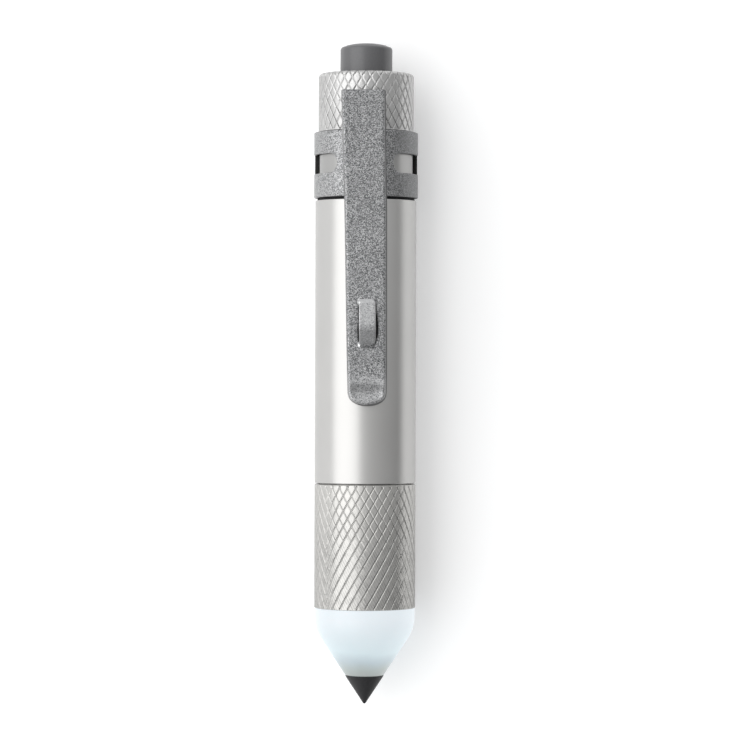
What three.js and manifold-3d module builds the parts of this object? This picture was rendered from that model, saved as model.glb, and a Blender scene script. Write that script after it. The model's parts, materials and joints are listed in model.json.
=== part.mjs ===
// A pocket light pen, in millimetres. The aluminium body is shaped like a stub of sharpened pencil and
// holds one AAA cell. A frosted nose glows behind a dark nib, a clip rides on a band round the tail,
// and a push button in the tail cap works the switch. Head and tail cap screw off on real threads.
//
// The pen lies along Y with its tail towards +Y and its clip on top, towards +Z. Stations along the pen
// are distances from the nib's point. The group is then moved so that its origin lies under the
// middle of the pen, on the surface that the pen rests on.
import * as THREE from "three";
import { mergeVertices } from "three/addons/utils/BufferGeometryUtils.js";
import Module from "manifold-3d";

const wasm = await Module();
wasm.setup();

// Dry cell, size AAA, with the room that it has in the barrel
const cellRadius = 5.25;
const cellLength = 44.5;
const cellTerminalRadius = 1.9;
const cellTerminalRise = 1.0;
const cellWasherThickness = 0.3;
const cellWasherInset = 1.0;
const cellCrimpDepth = 0.45;
const cellBevel = 0.3;
const cellPlay = 0.15;

// Clearances between pieces: hair gap where they are joined, gap where faces seat, gap round what slips
const hair = 0.03;
const seat = 0.05;
const slip = 0.1;

// Threads of the head and the tail cap, both right-handed
const threadPitch = 0.8;
const threadDepth = 0.25;
const threadPlay = 0.08;
const threadRunout = 0.3;
const neckWall = 0.35;
const boreRadius = cellRadius + cellPlay;
const threadMinor = boreRadius + neckWall;
const threadMajor = threadMinor + threadDepth;
const tapMinor = threadMinor + threadPlay;
const tapMajor = threadMajor + threadPlay;

// Outer lengths, from the nib's point to the top of the button
const nibLength = 4.0;
const noseLength = 9.25;
const headLength = 17.1;
const washerThickness = 0.35;
const bandLength = 9.0;
const capLength = 8.1;
const buttonRise = 4.3;
const cellInHead = 3.95;
const cellInBand = 1.05;
const barrelLength = cellLength - cellInHead - cellInBand;

const noseStart = nibLength;
const headStart = noseStart + noseLength;
const barrelStart = headStart + headLength;
const barrelEnd = barrelStart + barrelLength;
const bandStart = barrelEnd + washerThickness;
const capStart = bandStart + bandLength;
const capEnd = capStart + capLength;
const penLength = capEnd + buttonRise;
const cellStart = barrelStart - cellInHead;
const cellFace = cellStart + cellTerminalRise;
const cellEnd = cellStart + cellLength;

// Outer radii
const barrelWall = 1.6;
const barrelRadius = boreRadius + barrelWall;
const capWall = 0.52;
const capRadius = tapMajor + capWall;
const neckStepHeight = 0.45;
const neckRadius = threadMajor + neckStepHeight;
const bandPlay = 0.25;
const bandWall = 0.5;
const bandBore = neckRadius + bandPlay;
const bandRadius = bandBore + bandWall;
const edgeBevel = 0.15;

// Diamond knurl: width of a diamond round the body, lean of its grooves and their depth
const knurlWidth = 1.3;
const knurlLean = THREE.MathUtils.degToRad(31);
const knurlDepth = 0.2;

// Nib and nose share one cone
const coneAngle = THREE.MathUtils.degToRad(33);
const nibTipRadius = 0.2;
const nibRadius = Math.tan(coneAngle) * (nibLength + nibTipRadius * (1 / Math.sin(coneAngle) - 1));
const stemRadius = 1.5;
const stemLength = 3.4;
const noseInset = 0.05;
const noseRadius = barrelRadius - noseInset;
const noseShoulderRadius = 6;
const noseWall = 1.2;
const noseFrontWall = stemLength + 0.2;
const headWall = 1.0;
const collarRadius = barrelRadius - headWall - slip;
const collarWall = 1.15;
const collarLength = 3.25;
const collarEnd = headStart + collarLength;
const collarSealWire = 0.3;
const collarGrooveInset = 1.3;
const sealGroovePlay = 0.1;

// Light engine inside the head: a cup behind a ledge, with the lamp in front and a board inside
const ledgeThickness = 0.55;
const ledgeWidth = 0.65;
const cupRadius = threadMinor - slip;
const cupStart = collarEnd + seat + ledgeThickness + seat;
const cupPlate = 1.15;
const cupWall = 0.65;
const cupLength = 7.7;
const cupEnd = cupStart + cupLength;
const cupSpring = 0.15;
const neckFront = cupEnd + cupSpring;
const lampRadius = 2.4;
const lampFlangeWidth = 0.4;
const lampFlangeThickness = 0.95;
const lampLength = 4.6;
const lampDomeSquash = 0.75;
const lampBack = cupStart - hair;
const leadSide = 0.45;
const leadSpacing = 2.54;
const leadPlay = 0.15;
const leadTail = 0.3;
const boardThickness = 1.0;
const boardGap = 1.7;
const boardStart = cupStart + cupPlate + boardGap;
const boardEnd = boardStart + boardThickness;
const boardRadius = cupRadius - cupWall - slip;
const inductorRadius = 1.35;
const inductorWaist = 0.95;
const inductorHeight = 1.9;
const inductorFlange = 0.35;
const chipSize = [1.8, 0.9, 1.4];
const boardMargin = 0.25;
const contactSpringRadius = 1.5;
const contactSpringTaper = 0.8;
const contactSpringWire = 0.4;
const contactSpringTurns = 5;
const insulatorThickness = 1.0;
const insulatorInset = 0.25;
const insulatorHoleRadius = contactSpringRadius + contactSpringWire;

// Seal on the front neck
const frontLandRise = 0.3;
const frontLandRadius = threadMajor + frontLandRise;
const frontLandLength = 1.45;
const landStart = barrelStart - frontLandLength;
const frontCounterbore = frontLandRadius + slip;
const sealWire = 0.25;
const sealGrooveRadius = frontCounterbore - 2 * sealWire - 2 * hair;
const sealGrooveStart = landStart + (frontLandLength - 2 * sealWire - sealGroovePlay) / 2;

// Tail: cap, retaining ring and switch housing
const capTopWall = 1.0;
const capEdgeBevel = 0.5;
const capCounterbore = 0.7;
const rearThreadLength = 3.2;
const neckRear = capStart + rearThreadLength;
const lipThickness = 0.5;
const neckStep = capStart - seat - lipThickness - hair;
const housingBodyRadius = boreRadius - 2 * slip;
const housingFlangeRadius = threadMinor - slip;
const ringThickness = 0.9;
const ringGap = 0.15;
const ringStart = neckRear + ringGap;
const ringEnd = ringStart + ringThickness;
const ringBoreRadius = housingBodyRadius + slip;
const ringNotchWidth = 1.2;
const ringNotchDepth = 0.5;
const housingFlangeStart = ringEnd + seat;
const housingTop = capEnd - capTopWall - seat;
const housingFloor = 1.0;
const switchBoardThickness = 0.8;
const tailSpringRoom = 3.3;
const tailSpringWire = 0.5;
const tailSpringTurns = 3.25;
const tailSpringSmall = 2.3;
const tailSpringLarge = 3.9;
const switchBoardStart = cellEnd + tailSpringRoom;
const switchBoardEnd = switchBoardStart + switchBoardThickness;
const housingStart = switchBoardEnd + seat;
const housingFloorTop = housingStart + housingFloor;

// Button, plunger and contacts
const buttonRadius = 3.6;
const buttonPlay = 0.15;
const buttonDome = 0.85;
const buttonEdge = 0.35;
const buttonFlangeWidth = 1.0;
const buttonFlangeRadius = buttonRadius + buttonFlangeWidth;
const buttonFlangeThickness = 0.8;
const buttonFlangeEnd = capEnd - capTopWall - slip;
const buttonFlangeStart = buttonFlangeEnd - buttonFlangeThickness;
const buttonTravel = 1.6;
const pinRadius = 0.45;
const pinSpacing = 2.0;
const pinStand = 0.25;
const pinTop = housingFloorTop + pinStand;
const bridgeRim = 0.35;
const bridgeRadius = pinSpacing / 2 + pinRadius + bridgeRim;
const bridgeThickness = 0.3;
const bridgeStart = pinTop + buttonTravel + seat;
const bridgeEnd = bridgeStart + bridgeThickness;
const returnSpringWire = 0.35;
const returnSpringTurns = 6;
const returnSpringRadius = bridgeRadius + returnSpringWire / 2 + 2 * slip;
const plungerStemRadius = 1.4;
const plungerRadius = returnSpringRadius + returnSpringWire;
const plungerHead = 4.9;
const plungerShoulder = buttonFlangeStart - plungerHead;
const housingBoreRadius = plungerRadius + 8 * slip;
const recessFloor = buttonFlangeStart - buttonTravel - slip;

// Clip: an arm on a narrow pad of the band, with a lanyard loop raised out of it
const slotHeight = 2.55;
const slotFrom = THREE.MathUtils.degToRad(33);
const slotTo = THREE.MathUtils.degToRad(100);
const armThickness = 1.0;
const armGap = 0.35;
const armTopWidth = 5.95;
const armEndWidth = 5.2;
const armUnderside = bandRadius + armGap;
const armOverCap = 5.15;
const armReach = 28.8;
const armTop = capStart + armOverCap;
const armEnd = bandStart - armReach;
const armBow = 0.2;
const armDip = 3.6;
const armHeel = 1.75;
const armTouch = 0.12;
const armLip = 0.6;
const armCorner = 0.35;
const bandMiddle = (bandStart + capStart) / 2;
const padLength = 1.6;
const padWidth = 4.0;
const padGap = 0.08;
const loopFromBand = 17.6;
const loopCentre = bandStart - loopFromBand;
const loopLength = 6.6;
const loopWidth = 2.3;
const loopRise = 1.35;
const loopThickness = 0.7;
const loopSlit = 0.3;

// Facets round a body: what shows, what is hidden, and what is small
const fineSides = 48;
const coarseSides = 24;
const smallSides = 16;
const wireSides = 5;

// Finishes
function finish(color, roughness, metalness, extra = {}) {
  return new THREE.MeshStandardMaterial({ color, roughness, metalness, ...extra });
}
const satinAluminium = finish(0xb9b8b6, 0.32, 0.95);
const knurledAluminium = finish(0xaeadab, 0.36, 0.95);
const castSteel = finish(0x8f9193, 0.5, 0.85);
const brass = finish(0xb08d4a, 0.35, 0.9);
const copper = finish(0xb56f47, 0.35, 0.9);
const springSteel = finish(0xc4c4c2, 0.3, 1);
const tinnedWire = finish(0xc9c9c5, 0.35, 1);
const frostedPlastic = finish(0xe6f1f5, 0.5, 0, { transparent: true, opacity: 0.85 });
const clearEpoxy = finish(0xf2f4ee, 0.12, 0, { transparent: true, opacity: 0.7 });
const graphite = finish(0x333334, 0.55, 0.1);
const blackRubber = finish(0x161617, 0.75, 0);
const greyRubber = finish(0x5b5b5d, 0.6, 0);
const blackPlastic = finish(0x1d1e20, 0.45, 0);
const whitePlastic = finish(0xd9d8d2, 0.45, 0);
const greenBoard = finish(0x1e5a36, 0.4, 0);
const darkFerrite = finish(0x2d2c2d, 0.6, 0.1);
const cellJacket = finish(0x39434d, 0.3, 0.2);

// A closed surface as a solid for cutting and joining
function solidOf(geometry) {
  const bare = geometry.index ? geometry.toNonIndexed() : geometry.clone();
  bare.deleteAttribute("normal");
  bare.deleteAttribute("uv");
  const mergeWithin = 1e-4;
  const merged = mergeVertices(bare, mergeWithin);
  const corners = merged.index.array;
  const kept = [];
  for (let i = 0; i < corners.length; i += 3) {
    const [a, b, c] = corners.slice(i, i + 3);
    if (a !== b && b !== c && c !== a) kept.push(a, b, c);
  }
  return new wasm.Manifold(new wasm.Mesh({
    numProp: 3,
    vertProperties: merged.attributes.position.array,
    triVerts: new Uint32Array(kept),
  }));
}

function geometryOf(solid) {
  const { vertProperties, triVerts } = solid.getMesh();
  const geometry = new THREE.BufferGeometry();
  geometry.setAttribute("position", new THREE.BufferAttribute(vertProperties, 3));
  geometry.setIndex(new THREE.BufferAttribute(triVerts, 1));
  geometry.computeVertexNormals();
  return geometry;
}

// Solid from loose triangles, given as one flat list of coordinates
function solidOfTriangles(coordinates) {
  const geometry = new THREE.BufferGeometry();
  geometry.setAttribute("position", new THREE.Float32BufferAttribute(coordinates, 3));
  return solidOf(geometry);
}

// A turned solid. The profile lists [radius, station] anticlockwise, from axis to axis or round a ring.
function turned(profile, sides = coarseSides) {
  const points = profile.map(([radius, station]) => new THREE.Vector2(radius, station));
  const onAxis = profile[0][0] === 0;
  if (!onAxis) points.push(points[0].clone());
  return solidOf(new THREE.LatheGeometry(points, sides));
}

function rod(radius, from, to, sides = coarseSides) {
  return turned([[0, from], [radius, from], [radius, to], [0, to]], sides);
}

function ring(inner, outer, from, to, sides = coarseSides) {
  return turned([[inner, from], [outer, from], [outer, to], [inner, to]], sides);
}

// A pair of rods parallel to the pen's axis, at equal distances left and right of it
function rodPair(radius, from, to, spacing) {
  const pairSides = 8;
  const one = rod(radius, from, to, pairSides);
  return one.translate([spacing / 2, 0, 0]).add(one.translate([-spacing / 2, 0, 0]));
}

// A solid skinned over rings of [radius, station] given for each column, front ring first.
// splitBack says which quads are cut along their other diagonal.
function skinned(rings, splitBack = () => false) {
  const columns = rings[0].length - 1;
  const corner = ([radius, station], column) => {
    const angle = (2 * Math.PI * (column % columns)) / columns;
    return [radius * Math.sin(angle), station, radius * Math.cos(angle)];
  };
  const coordinates = [];
  for (let j = 0; j + 1 < rings.length; j++)
    for (let i = 0; i < columns; i++) {
      const a = corner(rings[j][i], i);
      const b = corner(rings[j][i + 1], i + 1);
      const c = corner(rings[j + 1][i + 1], i + 1);
      const d = corner(rings[j + 1][i], i);
      const faces = splitBack(i, j) ? [a, b, c, a, c, d] : [a, b, d, c, d, b];
      coordinates.push(...faces.flat());
    }
  return solidOfTriangles(coordinates);
}

function evenRing(columns, radius, station) {
  return Array.from({ length: columns + 1 }, () => [radius, station]);
}

// A rod with a right-handed V thread that fades out towards both ends. A crest lies wherever the
// station, in pitches, differs from the turn by a whole number, so all threads on the pen are in step.
function threadedRod(from, to, minor, major) {
  const columns = coarseSides;
  const rowsPerPitch = 2;
  const rings = [evenRing(columns, 0, from)];
  const firstRow = Math.floor((rowsPerPitch * from) / threadPitch) - rowsPerPitch - 1;
  const lastRow = Math.ceil((rowsPerPitch * to) / threadPitch) + 1;
  for (let row = firstRow; row <= lastRow; row++) {
    const isCrest = row % rowsPerPitch === 0;
    rings.push(Array.from({ length: columns + 1 }, (_, column) => {
      const helix = (row / rowsPerPitch + column / columns) * threadPitch;
      const station = THREE.MathUtils.clamp(helix, from, to);
      const full = Math.min(1, (station - from) / threadRunout, (to - station) / threadRunout);
      return [isCrest ? minor + (major - minor) * full : minor, station];
    }));
  }
  rings.push(evenRing(columns, 0, to));
  return skinned(rings);
}

// A rod with a diamond knurl of small pyramids between crossing grooves, bevelled at both ends
function knurledRod(from, to, radius, bevelFrom, bevelTo) {
  const grooves = Math.round((2 * Math.PI * radius) / knurlWidth);
  const columns = 2 * grooves;
  const rowHeight = (Math.PI * radius) / grooves / Math.tan(knurlLean);
  const start = from + bevelFrom;
  const end = to - bevelTo;
  const rows = Math.round((end - start) / rowHeight);
  const plainRings = [evenRing(columns, 0, from), evenRing(columns, radius - bevelFrom, from)];
  const rings = [...plainRings];
  for (let row = 0; row <= rows; row++) {
    const station = start + ((end - start) * row) / rows;
    rings.push(Array.from({ length: columns + 1 }, (_, column) => {
      const inGroove = (row + column) % 2 === 0;
      return [inGroove ? radius - knurlDepth : radius, station];
    }));
  }
  rings.push(evenRing(columns, radius - bevelTo, to), evenRing(columns, 0, to));
  return skinned(rings, (i, j) => (i + j - plainRings.length) % 2 === 0);
}

// A helix round the pen's axis whose radius may change from end to end
class Helix extends THREE.Curve {
  constructor(from, to, radiusFrom, radiusTo, turns) {
    super();
    Object.assign(this, { from, to, radiusFrom, radiusTo, turns });
  }
  getPoint(t, target = new THREE.Vector3()) {
    const radius = THREE.MathUtils.lerp(this.radiusFrom, this.radiusTo, t);
    const angle = 2 * Math.PI * this.turns * t;
    const station = THREE.MathUtils.lerp(this.from, this.to, t);
    return target.set(radius * Math.sin(angle), station, radius * Math.cos(angle));
  }
}

// A coil spring that stands between two faces
function coil(from, to, radiusFrom, radiusTo, turns, wire) {
  const stepsPerTurn = 10;
  const inset = wire / 2 + seat;
  const corners = Array.from({ length: wireSides }, (_, k) => {
    const angle = (2 * Math.PI * k) / wireSides;
    return new THREE.Vector2((wire / 2) * Math.cos(angle), (wire / 2) * Math.sin(angle));
  });
  return solidOf(new THREE.ExtrudeGeometry(new THREE.Shape(corners), {
    steps: Math.round(turns * stepsPerTurn),
    extrudePath: new Helix(from + inset, to - inset, radiusFrom, radiusTo, turns),
  }));
}

// A rubber ring in a groove
function oRing(grooveRadius, grooveStart, wire) {
  const radius = grooveRadius + wire + hair;
  const station = grooveStart + wire + sealGroovePlay / 2;
  const geometry = new THREE.TorusGeometry(radius, wire, wireSides + 1, coarseSides);
  return solidOf(geometry.rotateX(Math.PI / 2).translate(0, station, 0));
}

// An outline of [station, height] carried across the pen, centred on its mid-plane
function acrossPen(outline, width) {
  const shape = new THREE.Shape(outline.map(([station, height]) => new THREE.Vector2(station, height)));
  const geometry = new THREE.ExtrudeGeometry(shape, { depth: width, bevelEnabled: false });
  const [alongX, alongY, alongZ] = [[1, 0, 0], [0, 1, 0], [0, 0, 1]].map((v) => new THREE.Vector3(...v));
  geometry.applyMatrix4(new THREE.Matrix4().makeBasis(alongY, alongZ, alongX));
  return solidOf(geometry.translate(-width / 2, 0, 0));
}

function blockAcrossPen(from, to, low, high, width) {
  return acrossPen([[from, low], [to, low], [to, high], [from, high]], width);
}

// Points of a rounded corner or dome, from one angle to another
function arc(centreRadius, centreStation, radius, fromAngle, toAngle, steps, squash = 1) {
  return Array.from({ length: steps + 1 }, (_, k) => {
    const angle = THREE.MathUtils.lerp(fromAngle, toAngle, k / steps);
    const across = k === 0 && centreRadius === 0 ? 0 : centreRadius + radius * Math.cos(angle);
    return [across, centreStation + radius * squash * Math.sin(angle)];
  });
}

const pen = new THREE.Group();
function addPiece(name, solid, material) {
  const mesh = new THREE.Mesh(geometryOf(solid), material);
  mesh.name = name;
  pen.add(mesh);
}

// Nib: a dark cone on a plain stem that is pressed into the nose
function nib() {
  const stemEnd = noseStart + stemLength;
  return turned([
    ...arc(0, nibTipRadius, nibTipRadius, -Math.PI / 2, -coneAngle, 3),
    [nibRadius, noseStart - seat],
    [stemRadius, noseStart - seat],
    [stemRadius, stemEnd],
    [0, stemEnd],
  ]);
}

// Nose: the frosted shell. Its cone runs into its cylinder in a wide round, and its collar is held in
// the head by a rubber ring.
const collarGrooveRadius = collarRadius + slip - 2 * collarSealWire - 2 * hair;
const collarGrooveStart = headStart + collarGrooveInset;
const collarGrooveEnd = collarGrooveStart + 2 * collarSealWire + sealGroovePlay;
function nose() {
  const corner = noseStart + (noseRadius - nibRadius) / Math.tan(coneAngle);
  const shoulder = arc(
    noseRadius - noseShoulderRadius,
    corner + noseShoulderRadius * Math.tan(coneAngle / 2),
    noseShoulderRadius, -coneAngle, 0, 5);
  const outside = turned([
    [0, noseStart],
    [nibRadius, noseStart],
    ...shoulder,
    [noseRadius, headStart - seat],
    [0, headStart - seat],
  ], fineSides);
  const collar = turned([
    [0, headStart - 2 * seat],
    [collarRadius, headStart - 2 * seat],
    [collarRadius, collarGrooveStart],
    [collarGrooveRadius, collarGrooveStart],
    [collarGrooveRadius, collarGrooveEnd],
    [collarRadius, collarGrooveEnd],
    [collarRadius, collarEnd],
    [0, collarEnd],
  ]);
  const cavityStart = noseStart + noseFrontWall;
  const cavityRadius = collarRadius - collarWall;
  const cavityFront = nibRadius + noseFrontWall * Math.tan(coneAngle) - noseWall / Math.cos(coneAngle);
  const cavity = turned([
    [0, cavityStart],
    [cavityFront, cavityStart],
    [cavityRadius, cavityStart + (cavityRadius - cavityFront) / Math.tan(coneAngle)],
    [cavityRadius, collarEnd + slip],
    [0, collarEnd + slip],
  ]);
  const stemHole = rod(stemRadius + hair, noseStart - slip, cavityStart + slip);
  return outside.add(collar).subtract(cavity).subtract(stemHole);
}
function noseSeal() {
  return oRing(collarGrooveRadius, collarGrooveStart, collarSealWire);
}

// Head: the knurled sleeve. From the front it has the collar's bore, a ledge, the cup's bore,
// the thread for the barrel and a counterbore over the barrel's seal.
function headSleeve() {
  const counterboreStart = landStart - seat;
  const cavity = turned([
    [0, headStart - slip],
    [collarRadius + slip, headStart - slip],
    [collarRadius + slip, collarEnd + seat],
    [cupRadius - ledgeWidth, collarEnd + seat],
    [cupRadius - ledgeWidth, cupStart - seat],
    [cupRadius + slip, cupStart - seat],
    [cupRadius + slip, counterboreStart],
    [frontCounterbore, counterboreStart],
    [frontCounterbore, barrelStart + slip],
    [0, barrelStart + slip],
  ]);
  const tap = threadedRod(neckFront - slip, counterboreStart + threadRunout, tapMinor, tapMajor);
  return knurledRod(headStart, barrelStart - seat, barrelRadius, edgeBevel, edgeBevel)
    .subtract(cavity)
    .subtract(tap);
}

// Light engine: a brass cup that carries the lamp in front and the driver board inside
function leadHoles(from, to) {
  return rodPair(leadSide / Math.SQRT2 + leadPlay, from, to, leadSpacing);
}
function lightEngineCup() {
  const inside = cupRadius - cupWall;
  return turned([
    [0, cupStart],
    [cupRadius, cupStart],
    [cupRadius, cupEnd],
    [inside, cupEnd],
    [inside, cupStart + cupPlate],
    [0, cupStart + cupPlate],
  ]).subtract(leadHoles(cupStart - slip, cupStart + cupPlate + slip));
}
function ledLamp() {
  const domeStation = lampBack - lampLength + lampRadius * lampDomeSquash;
  return turned([
    ...arc(0, domeStation, lampRadius, -Math.PI / 2, 0, 5, lampDomeSquash),
    [lampRadius, lampBack - lampFlangeThickness],
    [lampRadius + lampFlangeWidth, lampBack - lampFlangeThickness],
    [lampRadius + lampFlangeWidth, lampBack],
    [0, lampBack],
  ]);
}
function ledLead(side) {
  const from = lampBack + hair;
  const to = boardEnd + leadTail;
  const geometry = new THREE.BoxGeometry(leadSide, to - from, leadSide);
  return solidOf(geometry.translate((side * leadSpacing) / 2, (from + to) / 2, 0));
}
function driverBoard() {
  return rod(boardRadius, boardStart, boardEnd).subtract(leadHoles(boardStart - slip, boardEnd + slip));
}
function driverInductor() {
  const start = boardEnd + hair;
  const end = start + inductorHeight;
  return turned([
    [0, start],
    [inductorRadius, start],
    [inductorRadius, start + inductorFlange],
    [inductorWaist, start + inductorFlange],
    [inductorWaist, end - inductorFlange],
    [inductorRadius, end - inductorFlange],
    [inductorRadius, end],
    [0, end],
  ], smallSides).translate([0, 0, -boardRadius + inductorRadius + boardMargin]);
}
function driverChip() {
  const [width, height, depth] = chipSize;
  const geometry = new THREE.BoxGeometry(width, height, depth);
  return solidOf(geometry.translate(0, boardEnd + hair + height / 2, boardRadius - boardMargin - depth));
}
function contactInsulator() {
  const end = cupEnd - insulatorInset;
  return ring(insulatorHoleRadius, boardRadius, end - insulatorThickness, end);
}
function contactSpring() {
  const tip = contactSpringRadius * contactSpringTaper;
  return coil(boardEnd, cellStart, contactSpringRadius, tip, contactSpringTurns, contactSpringWire);
}

// Barrel: threaded neck with its seal's groove, plain body, neck under the band, and the tail's thread
function barrel() {
  const overlap = threadRunout + slip;
  const neck = turned([
    [0, landStart],
    [frontLandRadius, landStart],
    [frontLandRadius, sealGrooveStart],
    [sealGrooveRadius, sealGrooveStart],
    [sealGrooveRadius, sealGrooveStart + 2 * sealWire + sealGroovePlay],
    [frontLandRadius, sealGrooveStart + 2 * sealWire + sealGroovePlay],
    [frontLandRadius, barrelStart + edgeBevel],
    [0, barrelStart + edgeBevel],
  ]);
  const body = turned([
    [0, barrelStart],
    [barrelRadius - edgeBevel, barrelStart],
    [barrelRadius, barrelStart + edgeBevel],
    [barrelRadius, barrelEnd - edgeBevel],
    [barrelRadius - edgeBevel, barrelEnd],
    [neckRadius, barrelEnd],
    [neckRadius, neckStep],
    [0, neckStep],
  ], fineSides);
  const frontThread = threadedRod(neckFront, landStart + overlap, threadMinor, threadMajor);
  const rearThread = threadedRod(neckStep - overlap, neckRear, threadMinor, threadMajor);
  const bore = rod(boreRadius, neckFront - slip, neckRear + slip);
  return body.add(neck).add(frontThread).add(rearThread).subtract(bore);
}
function headSeal() {
  return oRing(sealGrooveRadius, sealGrooveStart, sealWire);
}

// Cell: crimped can, insulating washer and terminal
function cellCan() {
  const crimpRadius = cellRadius - cellCrimpDepth;
  return turned([
    [0, cellFace],
    [crimpRadius - cellBevel, cellFace],
    [crimpRadius, cellFace + cellBevel],
    [cellRadius, cellFace + cellBevel + cellCrimpDepth],
    [cellRadius, cellEnd - cellBevel],
    [cellRadius - cellBevel, cellEnd],
    [0, cellEnd],
  ]);
}
function cellWasher() {
  const end = cellFace - hair;
  return ring(cellTerminalRadius + slip, cellRadius - cellWasherInset, end - cellWasherThickness, end);
}
function cellTerminal() {
  return turned([
    [0, cellStart],
    [cellTerminalRadius - cellBevel, cellStart],
    [cellTerminalRadius, cellStart + cellBevel],
    [cellTerminalRadius, cellFace - hair],
    [0, cellFace - hair],
  ], smallSides);
}

// Long round-ended cutter for one of the band's slots, which run round the band from front to side
function slotCutter(side) {
  const steps = 14;
  const half = slotHeight / 2;
  const roundedOver = half / bandRadius;
  const leastHalf = 0.1 * slotHeight;
  const [inner, outer] = [bandBore - slip, 2 * bandRadius];
  const section = (k) => {
    const angle = THREE.MathUtils.lerp(slotFrom, slotTo, k / steps);
    const fromEnd = Math.min(angle - slotFrom, slotTo - angle) / roundedOver;
    const rise = Math.max(leastHalf, half * Math.sqrt(1 - Math.max(0, 1 - fromEnd) ** 2));
    return [[inner, -rise], [outer, -rise], [outer, rise], [inner, rise]]
      .map(([radius, up]) => [radius * Math.sin(angle), bandMiddle + up, radius * Math.cos(angle)]);
  };
  const sections = Array.from({ length: steps + 1 }, (_, k) => section(k));
  const coordinates = [];
  const quad = (a, b, c, d) => coordinates.push(...a, ...b, ...c, ...a, ...c, ...d);
  for (let k = 0; k < steps; k++)
    for (let edge = 0; edge < 4; edge++) {
      const next = (edge + 1) % 4;
      quad(sections[k][edge], sections[k + 1][edge], sections[k + 1][next], sections[k][next]);
    }
  const [first, last] = [sections[0], sections[steps]];
  quad(first[0], first[1], first[2], first[3]);
  quad(last[3], last[2], last[1], last[0]);
  const cutter = solidOfTriangles(coordinates);
  return side > 0 ? cutter : cutter.mirror([1, 0, 0]);
}

// Band: a sleeve round the neck with a lip that the cap clamps, two slots, and the arm's pad on top
function clipBand() {
  const end = capStart - seat;
  const outside = turned([
    [0, bandStart],
    [bandRadius - edgeBevel, bandStart],
    [bandRadius, bandStart + edgeBevel],
    [bandRadius, end - edgeBevel],
    [bandRadius - edgeBevel, end],
    [0, end],
  ], fineSides);
  const pad = blockAcrossPen(
    bandMiddle - padLength / 2, bandMiddle + padLength / 2, bandBore, armUnderside - padGap, padWidth);
  const hollow = turned([
    [0, bandStart - slip],
    [bandBore, bandStart - slip],
    [bandBore, end - lipThickness],
    [threadMajor + slip, end - lipThickness],
    [threadMajor + slip, end + slip],
    [0, end + slip],
  ], fineSides);
  return outside.add(pad).subtract(hollow).subtract(slotCutter(1)).subtract(slotCutter(-1));
}
function bandWasher() {
  return ring(neckRadius + hair, bandBore, barrelEnd + hair, bandStart - hair, fineSides);
}

// Arm: a strip that follows a slightly bowed line, dips to touch the barrel and turns up at its end
function armLine() {
  const level = armUnderside + armThickness / 2;
  const touching = barrelRadius + armTouch + armThickness / 2;
  const knots = [
    [armTop, level],
    [bandMiddle, level],
    [bandStart - armTopWidth / 2, level],
    [loopCentre + loopLength, level + armBow],
    [loopCentre - 0.7 * loopLength, level + armBow],
    [armEnd + armDip, level],
    [armEnd + armHeel, touching],
    [armEnd + armHeel / 2, touching + 0.15 * armLip],
    [armEnd - armLip / 2, touching + armLip],
  ].map(([station, height]) => new THREE.Vector3(station, height, 0));
  return new THREE.CatmullRomCurve3(knots, false, "centripetal");
}
function stripOutline() {
  const line = armLine();
  const samples = 30;
  const upper = [];
  const lower = [];
  for (let k = 0; k <= samples; k++) {
    const point = line.getPoint(k / samples);
    const along = line.getTangent(k / samples);
    const [right, up] = [(along.y * armThickness) / 2, (-along.x * armThickness) / 2];
    upper.push([point.x + right, point.y + up]);
    lower.push([point.x - right, point.y - up]);
  }
  return [...lower, ...upper.reverse()];
}
function armPlan() {
  const top = armTopWidth / 2;
  const end = armEndWidth / 2;
  const cornerHeight = armEnd + 2 * armCorner;
  const plan = new THREE.Shape();
  plan.moveTo(-top, armTop - armCorner);
  plan.lineTo(-end, cornerHeight + 2 * armCorner);
  plan.quadraticCurveTo(-end, cornerHeight, -end + 2 * armCorner, cornerHeight - armCorner);
  plan.quadraticCurveTo(0, armEnd - armCorner, end - 2 * armCorner, cornerHeight - armCorner);
  plan.quadraticCurveTo(end, cornerHeight, end, cornerHeight + 2 * armCorner);
  plan.lineTo(top, armTop - armCorner);
  plan.lineTo(top - armCorner, armTop);
  plan.lineTo(-top + armCorner, armTop);
  const curveSegments = 6;
  const height = 2 * bandRadius;
  const options = { depth: height, bevelEnabled: false, curveSegments };
  return solidOf(new THREE.ExtrudeGeometry(plan, options));
}

// The loop seen from the side, drawn in from its outer face by an inset. Its front end is steeper.
function loopOutline(inset) {
  const half = loopLength / 2 - inset;
  const base = armUnderside + armBow + armThickness;
  const foot = base - armThickness / 2;
  const crown = base + loopRise - inset;
  return [
    [loopCentre - half, foot],
    [loopCentre + half, foot],
    [loopCentre + half, base],
    [loopCentre + 0.86 * half, base + 0.67 * (crown - base)],
    [loopCentre + 0.66 * half, base + 0.94 * (crown - base)],
    [loopCentre, crown],
    [loopCentre - 0.57 * half, base + 0.91 * (crown - base)],
    [loopCentre - 0.82 * half, base + 0.6 * (crown - base)],
    [loopCentre - half, base],
  ];
}
function clipArm() {
  const strip = acrossPen(stripOutline(), 2 * armTopWidth).intersect(armPlan());
  const halfHole = loopLength / 2 - loopThickness;
  const hole = blockAcrossPen(
    loopCentre - halfHole, loopCentre + halfHole, 0, 2 * bandRadius, loopWidth + 2 * loopSlit);
  const below = loopOutline(loopThickness).map(([station, height], k) => [station, k < 2 ? 0 : height]);
  const loop = acrossPen(loopOutline(0), loopWidth).subtract(acrossPen(below, 2 * loopWidth));
  return strip.subtract(hole).add(loop);
}

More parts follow.
